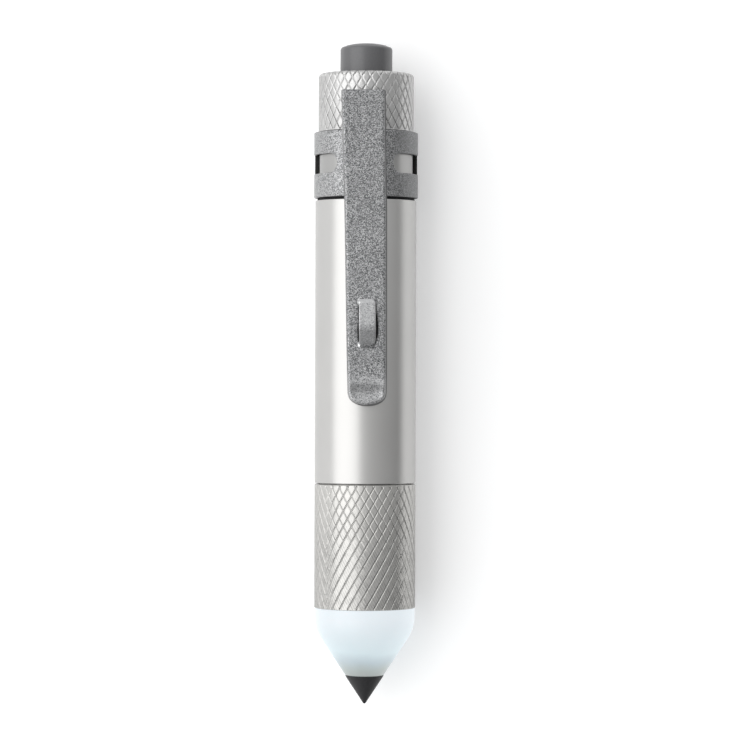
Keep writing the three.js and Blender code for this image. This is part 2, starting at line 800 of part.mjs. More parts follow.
// Tail cap: knurled, threaded inside, with the button's bore through its end wall
function tailCap() {
  const counterboreEnd = capStart + capCounterbore;
  const cavity = turned([
    [0, capStart - slip],
    [tapMajor, capStart - slip],
    [tapMajor, counterboreEnd],
    [housingFlangeRadius + slip, counterboreEnd],
    [housingFlangeRadius + slip, capEnd - capTopWall],
    [buttonRadius + buttonPlay, capEnd - capTopWall],
    [buttonRadius + buttonPlay, capEnd + slip],
    [0, capEnd + slip],
  ]);
  const tap = threadedRod(counterboreEnd - threadRunout, ringEnd + threadRunout, tapMinor, tapMajor);
  return knurledRod(capStart, capEnd, capRadius, edgeBevel, capEdgeBevel).subtract(cavity).subtract(tap);
}
function retainingRing() {
  const notch = blockAcrossPen(
    ringStart - slip, ringStart + ringNotchDepth, -2 * threadMajor, 2 * threadMajor, ringNotchWidth);
  return threadedRod(ringStart, ringEnd, threadMinor, threadMajor)
    .subtract(rod(ringBoreRadius, ringStart - slip, ringEnd + slip))
    .subtract(notch);
}

// Switch: a housing with a recess for the button's flange, a plunger with a copper bridge on its tip,
// and two pins that the bridge joins when the button is down
function switchHousing() {
  const outside = turned([
    [0, housingStart],
    [housingBodyRadius, housingStart],
    [housingBodyRadius, housingFlangeStart],
    [housingFlangeRadius, housingFlangeStart],
    [housingFlangeRadius, housingTop],
    [buttonFlangeRadius + slip, housingTop],
    [buttonFlangeRadius + slip, recessFloor],
    [housingBoreRadius, recessFloor],
    [housingBoreRadius, housingFloorTop],
    [0, housingFloorTop],
  ]);
  return outside.subtract(
    rodPair(pinRadius + seat, housingStart - slip, housingFloorTop + slip, pinSpacing));
}
function contactPin(side) {
  const pinSides = 8;
  return rod(pinRadius, switchBoardEnd + hair, pinTop, pinSides)
    .translate([(side * pinSpacing) / 2, 0, 0]);
}
function contactBridge() {
  return rod(bridgeRadius, bridgeStart, bridgeEnd, smallSides);
}
function switchPlunger() {
  const end = buttonFlangeStart - hair;
  return turned([
    [0, bridgeEnd + hair],
    [plungerStemRadius, bridgeEnd + hair],
    [plungerStemRadius, plungerShoulder],
    [plungerRadius, plungerShoulder],
    [plungerRadius, end],
    [0, end],
  ], smallSides);
}
function returnSpring() {
  const radius = returnSpringRadius;
  return coil(housingFloorTop, plungerShoulder, radius, radius, returnSpringTurns, returnSpringWire);
}
function switchBoard() {
  return rod(housingBodyRadius, switchBoardStart, switchBoardEnd);
}
function tailSpring() {
  return coil(
    cellEnd, switchBoardStart, tailSpringSmall, tailSpringLarge, tailSpringTurns, tailSpringWire);
}

// Button: a domed plunger head whose flange keeps it behind the cap's end wall
function pushButton() {
  const rim = penLength - buttonDome;
  const domeSteps = 4;
  const domeRadius = buttonRadius - buttonEdge;
  const dome = Array.from({ length: domeSteps }, (_, k) => {
    const share = 1 - (k + 1) / domeSteps;
    return [domeRadius * share, penLength - (buttonDome - buttonEdge) * share ** 2];
  });
  return turned([
    [0, buttonFlangeStart],
    [buttonFlangeRadius, buttonFlangeStart],
    [buttonFlangeRadius, buttonFlangeEnd],
    [buttonRadius, buttonFlangeEnd],
    [buttonRadius, rim],
    [domeRadius, rim + buttonEdge],
    ...dome,
  ]);
}

addPiece("nib", nib(), graphite);
addPiece("nose", nose(), frostedPlastic);
addPiece("nose_seal", noseSeal(), blackRubber);
addPiece("head_sleeve", headSleeve(), knurledAluminium);
addPiece("light_engine_cup", lightEngineCup(), brass);
addPiece("led_lamp", ledLamp(), clearEpoxy);
addPiece("led_lead_left", ledLead(-1), tinnedWire);
addPiece("led_lead_right", ledLead(1), tinnedWire);
addPiece("driver_board", driverBoard(), greenBoard);
addPiece("driver_inductor", driverInductor(), darkFerrite);
addPiece("driver_chip", driverChip(), blackPlastic);
addPiece("contact_insulator", contactInsulator(), whitePlastic);
addPiece("contact_spring", contactSpring(), springSteel);
addPiece("barrel", barrel(), satinAluminium);
addPiece("head_seal", headSeal(), blackRubber);
addPiece("cell_can", cellCan(), cellJacket);
addPiece("cell_washer", cellWasher(), whitePlastic);
addPiece("cell_terminal", cellTerminal(), springSteel);
addPiece("band_washer", bandWasher(), blackRubber);
addPiece("clip_band", clipBand(), castSteel);
addPiece("clip_arm", clipArm(), castSteel);
addPiece("tail_cap", tailCap(), knurledAluminium);
addPiece("retaining_ring", retainingRing(), brass);
addPiece("switch_housing", switchHousing(), blackPlastic);
addPiece("switch_plunger", switchPlunger(), whitePlastic);
addPiece("switch_return_spring", returnSpring(), springSteel);
addPiece("contact_bridge", contactBridge(), copper);
addPiece("contact_pin_left", contactPin(-1), copper);
addPiece("contact_pin_right", contactPin(1), copper);
addPiece("switch_board", switchBoard(), greenBoard);
addPiece("tail_spring", tailSpring(), springSteel);
addPiece("push_button", pushButton(), greyRubber);

pen.position.set(0, -penLength / 2, bandRadius);

export default pen;
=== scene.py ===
import json
import math
import bpy
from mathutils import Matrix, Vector


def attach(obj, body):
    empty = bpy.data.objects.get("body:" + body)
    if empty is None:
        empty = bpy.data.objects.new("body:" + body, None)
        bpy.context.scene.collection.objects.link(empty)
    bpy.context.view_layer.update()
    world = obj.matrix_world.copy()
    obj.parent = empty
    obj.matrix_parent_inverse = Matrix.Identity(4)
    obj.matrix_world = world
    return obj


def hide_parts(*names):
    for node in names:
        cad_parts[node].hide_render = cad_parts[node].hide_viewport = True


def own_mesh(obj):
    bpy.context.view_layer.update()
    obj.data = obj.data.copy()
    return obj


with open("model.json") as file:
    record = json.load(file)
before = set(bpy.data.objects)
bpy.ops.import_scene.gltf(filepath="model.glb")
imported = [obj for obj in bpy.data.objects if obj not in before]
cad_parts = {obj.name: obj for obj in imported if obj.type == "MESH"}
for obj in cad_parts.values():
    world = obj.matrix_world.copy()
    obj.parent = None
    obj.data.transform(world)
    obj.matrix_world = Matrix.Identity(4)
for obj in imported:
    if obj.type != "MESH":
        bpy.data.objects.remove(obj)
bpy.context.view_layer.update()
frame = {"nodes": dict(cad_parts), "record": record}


# Barrel: the plain body, turned from aluminium bar, bead blasted and anodised clear. Its front neck
# carries the thread and rubber ring of the head, its rear neck the clip's band and the cap's thread.
# Lengths are in millimetres; stations run from the nib's point, and angles from the clip to the right.
mm = 0.001
half_length = 45.8
axis_height = 7.2


def place(radius, station, angle):
    return mm * Vector((
        radius * math.sin(angle), station - half_length, axis_height + radius * math.cos(angle)))


def eased(corners, ease, steps=4):
    """Rounds each corner of an outline that leaves room for it."""
    points = []
    for k, corner in enumerate(corners):
        here = Vector(corner)
        if k in (0, len(corners) - 1) and corner[0] == 0:
            points.append(here)
            continue
        before = Vector(corners[k - 1]) - here
        after = Vector(corners[(k + 1) % len(corners)]) - here
        reach = min(ease, before.length * 0.45, after.length * 0.45)
        start, end = here + before.normalized() * reach, here + after.normalized() * reach
        for s in range(steps + 1):
            t = s / steps
            points.append(start * (1 - t) ** 2 + here * 2 * t * (1 - t) + end * t ** 2)
    return [(p.x, p.y) for p in points]


smooth_below = math.radians(40)


def finished_mesh(name, vertices, faces):
    mesh = bpy.data.meshes.new(name)
    mesh.from_pydata(vertices, [], faces)
    mesh.polygons.foreach_set("use_smooth", [True] * len(mesh.polygons))
    mesh.set_sharp_from_angle(angle=smooth_below)
    mesh.update()
    piece = bpy.data.objects.new(name, mesh)
    bpy.context.scene.collection.objects.link(piece)
    return piece


def turned(name, outline, sides=96):
    """Revolves an outline of (radius, station), given from axis to axis or round a ring."""
    closed = outline[0][0] != 0
    rows, vertices, faces = [], [], []
    for radius, station in outline:
        if radius == 0:
            rows.append([len(vertices)] * sides)
            vertices.append(place(0, station, 0))
        else:
            rows.append(range(len(vertices), len(vertices) + sides))
            vertices += [place(radius, station, 2 * math.pi * i / sides) for i in range(sides)]
    pairs = list(zip(rows, rows[1:])) + ([(rows[-1], rows[0])] if closed else [])
    for low, high in pairs:
        for i in range(sides):
            n = (i + 1) % sides
            corners = [low[i], low[n], high[n], high[i]]
            kept = [c for k, c in enumerate(corners) if c != corners[k - 1]]
            if len(kept) > 2:
                faces.append(kept)
    return finished_mesh(name, vertices, faces)


def applied(piece):
    """Keeps what a piece's modifiers make of it as its plain mesh."""
    bpy.context.view_layer.update()
    mesh = bpy.data.meshes.new_from_object(piece.evaluated_get(bpy.context.evaluated_depsgraph_get()))
    piece.modifiers.clear()
    piece.data = mesh
    return piece


class Wire:
    """An output socket of a node tree. Arithmetic on it adds Math nodes to the tree."""

    def __init__(self, tree, socket=None):
        self.tree, self.socket = tree, socket

    def add(self, kind, settings={}, inputs={}, output=0):
        node = self.tree.nodes.new(kind)
        for name, value in settings.items():
            if name == "stops":
                while len(node.color_ramp.elements) < len(value):
                    node.color_ramp.elements.new(1)
                for element, (position, color) in zip(node.color_ramp.elements, value):
                    element.position, element.color = position, (*color, 1)
            else:
                setattr(node, name, value)
        for name, value in inputs.items():
            if isinstance(value, Wire):
                self.tree.links.new(value.socket, node.inputs[name])
            else:
                node.inputs[name].default_value = value
        return Wire(self.tree, node.outputs[output]) if len(node.outputs) else node

    def math(self, operation, *others):
        return self.add("ShaderNodeMath", {"operation": operation}, dict(enumerate((self, *others))))

    def __add__(self, other): return self.math("ADD", other)
    def __radd__(self, other): return self.math("ADD", other)
    def __sub__(self, other): return self.math("SUBTRACT", other)
    def __rsub__(self, other): return (self * -1).math("ADD", other)
    def __mul__(self, other): return self.math("MULTIPLY", other)
    def __rmul__(self, other): return self.math("MULTIPLY", other)
    def __truediv__(self, other): return self.math("DIVIDE", other)

    def held(self):
        return self.math("MAXIMUM", 0).math("MINIMUM", 1)

    def parts(self):
        return [self.add("ShaderNodeSeparateXYZ", {}, {0: self}, k) for k in range(3)]

    def to_color(self, low, high):
        """The colour that lies this share of the way from low to high, which are colours or wires."""
        low, high = (color if isinstance(color, Wire) else (*color, 1) for color in (low, high))
        return self.add("ShaderNodeMix", {"data_type": "RGBA"}, {0: self, 6: low, 7: high}, 2)


finishes = {}


def new_material(name, metallic, roughness, color, **plain):
    """Starts a finish, and gives it with its shader and the wire of its Object coordinates."""
    made = finishes[name] = bpy.data.materials.new(name)
    made.use_nodes = True
    shader = made.node_tree.nodes["Principled BSDF"]
    shader.inputs["Metallic"].default_value = metallic
    shader.inputs["Roughness"].default_value = roughness
    shader.inputs["Base Color"].default_value = (*color, 1)
    made.diffuse_color = (*color, 1)
    for socket, value in plain.items():
        shader.inputs[socket.replace("_", " ")].default_value = value
    here = Wire(made.node_tree).add("ShaderNodeTexCoord", output="Object")
    return made, shader, here


def feed(shader, **wires):
    for socket, wire in wires.items():
        wire.tree.links.new(wire.socket, shader.inputs[socket.replace("_", " ")])


def grain(here, per_mm, detail=2.0, roughness=0.5):
    return here.add("ShaderNodeTexNoise", {}, {
        "Vector": here, "Scale": per_mm / mm, "Detail": detail, "Roughness": roughness})


def bumped(height, strength, depth_mm):
    return height.add("ShaderNodeBump", {}, {
        "Height": height, "Strength": strength, "Distance": depth_mm * mm})


satin_aluminium, shader, here = new_material("satin_aluminium", 1.0, 0.33, (0.50, 0.495, 0.485))
blast, cloud = grain(here, 7.0), grain(here, 0.12, 3.0)
station = here.parts()[1] / mm + half_length
shaded_rear_neck = ((station - 69.8) * 20).held()  # painted shade: the rear neck, recessed under the band, is darkened as if in shadow
bare = cloud.to_color((0.475, 0.47, 0.46), (0.53, 0.525, 0.515))
feed(shader,
     Base_Color=(shaded_rear_neck * 0.42).to_color(bare, (0.2, 0.2, 0.2)),
     Roughness=0.3 + cloud * 0.05 + blast * 0.04,
     Normal=bumped(blast, 0.18, 0.02))


def cylinder_place(tree):
    """Of a geometry tree's points: turn (half a turn to either side), station, radius and outward
    direction."""
    x, y, z = Wire(tree).add("GeometryNodeInputPosition").parts()
    up = z - axis_height * mm
    turn = x.math("ARCTAN2", up) / (2 * math.pi)
    outwards = x.add("ShaderNodeCombineXYZ", {}, {0: x, 2: up})
    outwards = outwards.add("ShaderNodeVectorMath", {"operation": "NORMALIZE"}, {0: outwards})
    radius = (x * x + up * up).math("SQRT") / mm
    return turn, y / mm + half_length, radius, outwards


def started_tree(name, sizes):
    """A geometry tree with named inputs for its sizes, and the wires of its inputs."""
    tree = bpy.data.node_groups.new(name, "GeometryNodeTree")
    tree.is_modifier = True
    tree.interface.new_socket("Geometry", in_out="INPUT", socket_type="NodeSocketGeometry")
    for size in sizes:
        tree.interface.new_socket(size, in_out="INPUT", socket_type="NodeSocketFloat")
    tree.interface.new_socket("Material", in_out="INPUT", socket_type="NodeSocketMaterial")
    tree.interface.new_socket("Geometry", in_out="OUTPUT", socket_type="NodeSocketGeometry")
    entry = tree.nodes.new("NodeGroupInput")
    return tree, {socket.name: Wire(tree, socket) for socket in entry.outputs if socket.name}


def ended_tree(tree, body, inputs):
    body = body.add("GeometryNodeRealizeInstances", {}, {"Geometry": body})
    body = body.add("GeometryNodeSetMaterial", {}, {"Geometry": body, "Material": inputs["Material"]})
    body.add("NodeGroupOutput", {}, {"Geometry": body})
    return tree


def cutting_tree(name, sizes, cut):
    """A tree that moves points towards the pen's axis by cut(inputs, turn, station, radius) in mm,
    and keeps in the attribute groove how deep each point lies."""
    tree, inputs = started_tree(name, sizes)
    turn, station, radius, outwards = cylinder_place(tree)
    depth = cut(inputs, turn, station, radius)
    offset = outwards.add("ShaderNodeVectorMath", {"operation": "SCALE"}, {
        0: outwards, "Scale": depth * -mm})
    body = depth.add("GeometryNodeStoreNamedAttribute", {"data_type": "FLOAT"}, {
        "Geometry": inputs["Geometry"], "Name": "groove", "Value": depth})
    body = body.add("GeometryNodeSetPosition", {}, {"Geometry": body, "Offset": offset})
    return ended_tree(tree, body, inputs)


def made_by(tree, piece, sizes, material, sharp=smooth_below):
    """Runs a geometry tree on a piece and keeps the result as its plain mesh."""
    modifier = piece.modifiers.new(tree.name, "NODES")
    modifier.node_group = tree
    names = {i.name: i.identifier for i in tree.interface.items_tree if i.in_out == "INPUT"}
    for name, value in {**sizes, "Material": material}.items():
        modifier[names[name]] = value
    applied(piece).data.set_sharp_from_angle(angle=sharp)
    return piece


def fitted(piece, body, slot, *nodes):
    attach(piece, body)
    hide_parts(*nodes)


def thread_cut(inputs, turn, station, radius):
    """A right-handed V thread on the points between two stations at its crest radius."""
    phase = station / inputs["Pitch"] - turn
    flank = (phase.math("FRACT") - 0.5).math("ABSOLUTE") * 2
    runout = ((station - inputs["From"]) * 3).held() * ((inputs["To"] - station) * 3).held()
    inside = (station.math("GREATER_THAN", inputs["From"] - 0.01)
              * station.math("LESS_THAN", inputs["To"] + 0.01))
    on_crest = radius.math("COMPARE", inputs["Crest radius"], 0.02)
    return inputs["Depth"] * (1 - flank * runout) * on_crest * inside


def steps_between(start, end, step):
    count = max(1, round((end - start) / step))
    return [start + (end - start) * k / count for k in range(count + 1)]


roll_thread = cutting_tree("roll thread", ["From", "To", "Pitch", "Crest radius", "Depth"], thread_cut)
thread_pitch, thread_crest, thread_depth = 0.8, 6.0, 0.25
front_thread, rear_thread = (25.0, 28.9), (78.62, 82.4)
barrel_outline = (
    [(5.4, 25.0)]
    + [(thread_crest, s) for s in steps_between(*front_thread, 0.1)]
    + eased([(6.3, 28.9), (6.3, 29.28), (5.84, 29.28), (5.84, 29.93), (6.3, 29.93), (6.3, 30.67),
             (7.0, 30.67), (7.0, 69.73), (6.45, 69.73), (6.45, 78.62)], 0.12)
    + [(thread_crest, s) for s in steps_between(*rear_thread, 0.1)]
    + [(5.4, 82.4)])
barrel = turned("barrel_body", barrel_outline, 128)
for span in (front_thread, rear_thread):
    made_by(roll_thread, barrel, {
        "From": span[0], "To": span[1], "Pitch": thread_pitch,
        "Crest radius": thread_crest, "Depth": thread_depth}, satin_aluminium)
fitted(barrel, "barrel", "satin_aluminium", "barrel")


# Washer between barrel and band: a thin ring punched from black rubber, which the clamped band
# presses against the barrel's shoulder. It shows as a dark line.
black_rubber, shader, here = new_material(
    "black_rubber", 0.0, 0.7, (0.007, 0.007, 0.008), Specular_IOR_Level=0.25)
skin = grain(here, 5.0)
feed(shader,
     Base_Color=skin.to_color((0.004, 0.004, 0.005), (0.01, 0.01, 0.011)),
     Roughness=0.65 + skin * 0.15,
     Normal=bumped(skin, 0.25, 0.02))
washer_outline = eased([(6.48, 69.75), (6.72, 69.75), (6.72, 70.06), (6.48, 70.06)], 0.06)
washer = turned("band_washer_ring", washer_outline)
washer.data.materials.append(black_rubber)
fitted(washer, "barrel", "black_rubber", "band_washer")


# Head: a sleeve of the same aluminium that screws on the barrel. Its diamond knurl is cut by two
# wheels. One bit deeper on top, where its slanting grooves run right through, the other at the sides.
def diamond_cut(inputs, turn, station, radius):
    """Two crossing sets of grooves. The second is shallow, with a wheel's tooth tracks, up to the share
    of the sleeve's length from which it rises to its full depth."""
    across = turn * inputs["Grooves"]
    along = (station - inputs["From"]) / inputs["Diamond height"]
    span = (station - inputs["From"]) / (inputs["To"] - inputs["From"])

    def groove(phase, width):
        off = ((phase + 0.5).math("FRACT") - 0.5).math("ABSOLUTE")
        return (1 - off / width).held()

    sides = ((turn.math("ABSOLUTE") - inputs["Top half width"]) * 25).held()
    strong = groove(across - along, inputs["Groove width"]) * (1 - sides * 0.65)
    shallow = ((span - inputs["Second from"]) * inputs["Second rise"]).held()
    to_right = (turn * (2 * math.pi)).math("SINE")
    share = (shallow * 0.6 + 0.4).math("MAXIMUM", sides * (1.0 - to_right * 0.4))
    crossing = groove(across + along, inputs["Groove width"]) * share
    tracks = groove((across + along) * 2 + 0.4, inputs["Groove width"] * 1.6) * (1 - shallow) * 0.4
    second = crossing.math("MAXIMUM", tracks) * inputs["Second depth"]
    inside = ((station - inputs["From"]) * 50).held() * ((inputs["To"] - station) * 50).held()
    on_top = radius.math("GREATER_THAN", inputs["Radius"] - 0.02)
    return strong.math("MAXIMUM", second) * inputs["Depth"] * inside * on_top


cut_knurl = cutting_tree("cut knurl", [
    "From", "To", "Radius", "Grooves", "Diamond height", "Groove width", "Depth",
    "Second depth", "Second from", "Second rise", "Top half width"], diamond_cut)

knurl_samples, groove_width, groove_crease = 12, 0.086, math.radians(25)
head_grooves, head_diamond, head_start, head_end, head_radius = 36, 2.08, 13.38, 30.5, 7.0
knurled_aluminium, shader, here = new_material("knurled_aluminium", 1.0, 0.36, (0.50, 0.495, 0.485))
groove_depth = here.add("ShaderNodeAttribute", {"attribute_name": "groove"}, {}, "Fac")
x, y, z = here.parts()
turn = x.math("ARCTAN2", z - axis_height * mm) / (2 * math.pi)
station = y / mm + half_length
on_cap = ((station - 40) * 5).held()
tooth_marks = ((turn * head_grooves + station / head_diamond) * 3).math("FRACT")
tooth_marks = (tooth_marks - 0.5).math("ABSOLUTE") * 2
marked = ((29.0 - station) / 8).held() * (1 - on_cap)
blast, patches = grain(here, 7.0), grain(here, 1.1, 3.0)
marked = marked * (((patches - 0.4) * 5).held() * 0.45 + 0.3)
# Painted shade and highlight: the knurl's groove bottoms are painted dark as if in shadow, and on the
# head's left side, toward the lamp, they are painted near white as if lit.
sunk = ((groove_depth - 0.055) / 0.06).held()
shine = 1 - marked * (1 - tooth_marks) * 0.5 - (blast - 0.5).math("ABSOLUTE") * 0.8
lit_left_grooves = ((x / mm + 4.0) / -1.2).held() * (1 - on_cap)
groove_shade_and_highlight = lit_left_grooves.to_color((0.05, 0.048, 0.046), (0.95, 0.94, 0.92))
bare = on_cap.to_color((0.53, 0.523, 0.505), (0.525, 0.522, 0.517))
knurl_tone_with_painted_grooves = sunk.to_color(bare, groove_shade_and_highlight)
knurl_tone_with_painted_grooves = knurl_tone_with_painted_grooves.add("ShaderNodeMix", {"data_type": "RGBA", "blend_type": "MULTIPLY"}, {
    0: 1.0, 6: knurl_tone_with_painted_grooves, 7: shine.to_color((0, 0, 0), (1, 1, 1))}, 2)
feed(shader, Base_Color=knurl_tone_with_painted_grooves, Roughness=0.27 + blast * 0.12 + sunk * 0.1,
     Normal=bumped(blast + marked * tooth_marks * 0.8, 0.75, 0.02))

head_rim = 0.06
head_rows = steps_between(head_start + head_rim, head_end - head_rim, head_diamond / knurl_samples)
head_outline = (
    [(6.0, head_start), (head_radius - head_rim, head_start)]
    + [(head_radius, s) for s in head_rows]
    + [(head_radius - head_rim, head_end)]
    + [(6.4, head_end), (6.4, 28.85), (6.08, 28.85), (6.08, 24.9), (5.75, 24.9), (5.75, 17.1),
       (5.0, 17.1), (5.0, 16.55), (6.0, 16.55)])
head = turned("head_sleeve_knurled", head_outline, head_grooves * knurl_samples)
made_by(cut_knurl, head, {
    "From": head_start + head_rim, "To": head_end - head_rim, "Radius": head_radius,
    "Grooves": float(head_grooves), "Diamond height": head_diamond, "Groove width": groove_width,
    "Depth": 0.15, "Second depth": 0.68, "Second from": 0.42, "Second rise": 5.0,
    "Top half width": 0.105}, knurled_aluminium, groove_crease)
fitted(head, "head", "knurled_aluminium", "head_sleeve")


# Nose: the window of the light, moulded in frosted plastic. Its cold white glow is painted light, an
# emission that stands in for light scattered through the frosted wall. Its darker front near the nib is
# painted shade for the nib's stem seen through it.
# Its cone runs into the sleeve's width in a wide round.
painted_glow_share = 0.745
frosted_plastic, shader, here = new_material(
    "frosted_plastic", 0.0, 0.42, (0.45, 0.49, 0.51), Subsurface_Weight=0.2, Subsurface_Scale=0.002,
    Emission_Strength=painted_glow_share, IOR=1.49, Coat_Weight=0.3, Coat_Roughness=0.35)
cloud = grain(here, 0.25, 2.0)
nib_end, nose_length = 4.0, 9.25
along = ((here.parts()[1] / mm + half_length - nib_end) / nose_length + (cloud - 0.5) * 0.12).held()


# Painted light and shade: one ramp feeds both base and emission, dark toward the nib and cold white
# further back.
def painted_nose_light(share):
    return along.add("ShaderNodeValToRGB", {"stops": [
        (stop, tuple(share * c for c in color)) for stop, color in (
            (0.0, (0.42, 0.46, 0.45)), (0.08, (0.46, 0.52, 0.51)), (0.22, (0.57, 0.67, 0.72)),
            (0.37, (0.745, 0.87, 0.92)), (0.85, (0.88, 0.95, 1.0)))]}, {0: along})


feed(shader, Base_Color=painted_nose_light(0.13), Emission_Color=painted_nose_light(1.0),
     Roughness=0.38 + cloud * 0.1, Normal=bumped(grain(here, 6.0), 0.1, 0.015))


def arc_points(radius, centre_radius, centre_station, start, end, steps):
    angles = [start + (end - start) * k / steps for k in range(steps + 1)]
    return [(centre_radius + radius * math.cos(angle), centre_station + radius * math.sin(angle))
            for angle in angles]


cone = math.radians(33)
nib_radius, nose_radius, shoulder_radius = 2.706, 6.95, 6.0
shoulder_station = (
    nib_end + (nose_radius - nib_radius) / math.tan(cone) + shoulder_radius * math.tan(cone / 2))
nose_outline = (
    [(1.53, nib_end), (nib_radius - 0.1, nib_end), (nib_radius, nib_end + 0.08)]
    + arc_points(shoulder_radius, nose_radius - shoulder_radius, shoulder_station, -cone, 0, 24)
    + [(nose_radius, 13.22), (nose_radius - 0.05, 13.33), (5.9, 13.33), (5.9, 14.55), (5.33, 14.55),
       (5.33, 15.25), (5.9, 15.25), (5.9, 16.5), (4.75, 16.5), (4.75, 11.4), (3.61, 7.6), (1.53, 7.6)])
nose = turned("nose_window", nose_outline, 128)
nose.data.materials.append(frosted_plastic)
fitted(nose, "head", "frosted_plastic", "nose")


# Nib: the writing point, pressed and fired from graphite and clay like a pencil's lead, then ground
# to a blunt tip. Its stem is pushed into the nose.
graphite, shader, here = new_material("graphite", 0.0, 0.48, (0.02, 0.02, 0.022), Specular_IOR_Level=0.3)
streak = here.add("ShaderNodeMapping", {}, {0: here, "Scale": (1.0, 0.15, 1.0)})
streak = grain(streak, 4.0, 3.0, 0.6)
feed(shader,
     Base_Color=streak.to_color((0.009, 0.009, 0.01), (0.026, 0.026, 0.028)),
     Roughness=0.4 + streak * 0.2, Normal=bumped(streak, 0.3, 0.03))
tip_radius = 0.24
tip_worn_off = 0.2 * (1 / math.sin(cone) - 1)
tip_station = tip_radius / math.sin(cone) - tip_worn_off
nib_outline = (
    [(0, tip_station - tip_radius)]
    + arc_points(tip_radius, 0, tip_station, -math.pi / 2, -cone, 8)[1:]
    + [(nib_radius - 0.09, 3.83), (nib_radius - 0.05, 3.93), (nib_radius - 0.2, 3.95),
       (1.5, 3.95), (1.5, 7.4), (0, 7.4)])
nib = turned("nib_lead", nib_outline, 96)
nib.data.materials.append(graphite)
fitted(nib, "head", "graphite", "nib")


# Tail cap: knurled like the head, with both grooves equally deep and a rounded rear edge. It clamps
# the band's lip and closes on the switch.
cap_grooves, cap_diamond, cap_start, cap_end, cap_radius = 33, 2.03, 79.2, 87.3, 6.6
cap_rim, cap_ease = 0.08, 0.5
cap_rows = steps_between(cap_start + cap_rim, cap_end - cap_ease, cap_diamond / knurl_samples)
round_end = arc_points(cap_ease, cap_radius - cap_ease, cap_end - cap_ease, 0, math.pi / 2, 10)
cap_outline = (
    [(6.08, cap_start), (cap_radius - cap_rim, cap_start)]
    + [(cap_radius, s) for s in cap_rows]
    + round_end[1:]
    + [(3.8, cap_end), (3.75, cap_end - 0.05), (3.75, 86.3), (5.75, 86.3), (5.75, 83.7), (6.08, 83.7)])
tail_cap = turned("tail_cap_knurled", cap_outline, cap_grooves * knurl_samples)
made_by(cut_knurl, tail_cap, {
    "From": cap_start + cap_rim, "To": cap_end + 0.01, "Radius": cap_radius - cap_ease + 0.05,
    "Grooves": float(cap_grooves), "Diamond height": cap_diamond, "Groove width": groove_width,
    "Depth": 0.14, "Second depth": 1.0, "Second from": -1.0, "Second rise": 1.0,
    "Top half width": 1.0}, knurled_aluminium, groove_crease)
fitted(tail_cap, "tail_cap", "knurled_aluminium", "tail_cap")


# Push button: a domed cap moulded in dark grey rubber with a fine satin skin, held behind the cap's
# end wall by its flange.
grey_rubber, shader, here = new_material(
    "grey_rubber", 0.0, 0.36, (0.08, 0.08, 0.083), Specular_IOR_Level=0.8)
skin = grain(here, 5.0, 3.0)
feed(shader,
     Base_Color=skin.to_color((0.063, 0.063, 0.066), (0.097, 0.097, 0.101)),
     Roughness=0.31 + skin * 0.12, Normal=bumped(skin, 0.25, 0.02))
dome_radius, dome_rise, button_end, dome_steps = 3.3, 0.5, 91.6, 14
dome = [(dome_radius * (1 - k / dome_steps), button_end - dome_rise * (1 - k / dome_steps) ** 2)
        for k in range(2, dome_steps)]
button_outline = ([(0, 85.4)] + eased([(4.6, 85.4), (4.6, 86.2), (3.6, 86.2)], 0.08)
                  + eased([(3.6, 86.9), (3.6, 90.82), (3.25, 91.12)], 0.3, 6)[5:]
                  + dome + [(0, button_end)])
button = turned("push_button_dome", button_outline, 96)
button.data.materials.append(grey_rubber)
fitted(button, "button", "grey_rubber", "push_button")


# Clip's band: a ring with two long slots round its sides, investment cast in steel with its arm and
# blasted, so that all of it has a coarse grey sparkle. The cap clamps its inner lip.
cast_steel, shader, here = new_material("cast_steel", 0.9, 0.4, (0.34, 0.342, 0.345))
speck, patch = grain(here, 8.5, 2.0, 0.6), grain(here, 0.55, 2.0)
crystal = here.add("ShaderNodeTexVoronoi", {}, {"Vector": here, "Scale": 7.5 / mm}, "Color").parts()[0]
# Of these attributes, the first marks wear, where cloth makes the steel lighter and smoother, and also
# painted light on lit sides and glints. The second paints shade: the steel turns near black and not
# metallic where slot ends and slits lie in shadow, and darker on right sides.
rubbed, grimed = (here.add("ShaderNodeAttribute", {"attribute_name": name}, {}, "Fac")
                  for name in ("rubbed", "grimed"))
rough_cast = (1 - rubbed * 0.3) * (1 - grimed * 4).held() * (0.7 + ((patch - 0.4) * 4).held() * 0.3)
light = (((speck - 0.5) * 4.0 + (crystal - 0.5) * 1.15) * rough_cast + 0.45 + rubbed * 0.2).held()
tone = light.add("ShaderNodeValToRGB", {"stops": [
    (0.0, (0.09, 0.092, 0.095)), (0.45, (0.245, 0.247, 0.25)), (1.0, (0.50, 0.502, 0.505))]}, {0: light})
# Painted highlight: where the mark of wear and highlight runs highest, on the strap's feet and their
# left corners, the steel turns near white as glints.
painted_glint = ((rubbed - 1.7) / 1.3).held()
tone = painted_glint.to_color(tone, (0.90, 0.905, 0.91))
feed(shader,
     Base_Color=grimed.to_color(tone, (0.004, 0.004, 0.004)),
     Metallic=0.9 - grimed * 0.9, Roughness=0.3 + crystal * 0.15 + grimed * 0.4,
     Normal=bumped((speck + crystal * 0.3) * rough_cast, 0.7, 0.04))


def marked_where(piece, name, share):
    """Keeps in an attribute what share gives for each point (x, station, height over the axis in mm)."""
    mark = piece.data.attributes.new(name, "FLOAT", "POINT")
    mark.data.foreach_set("value", [
        share(v.co.x / mm, v.co.y / mm + half_length, v.co.z / mm - axis_height)
        for v in piece.data.vertices])


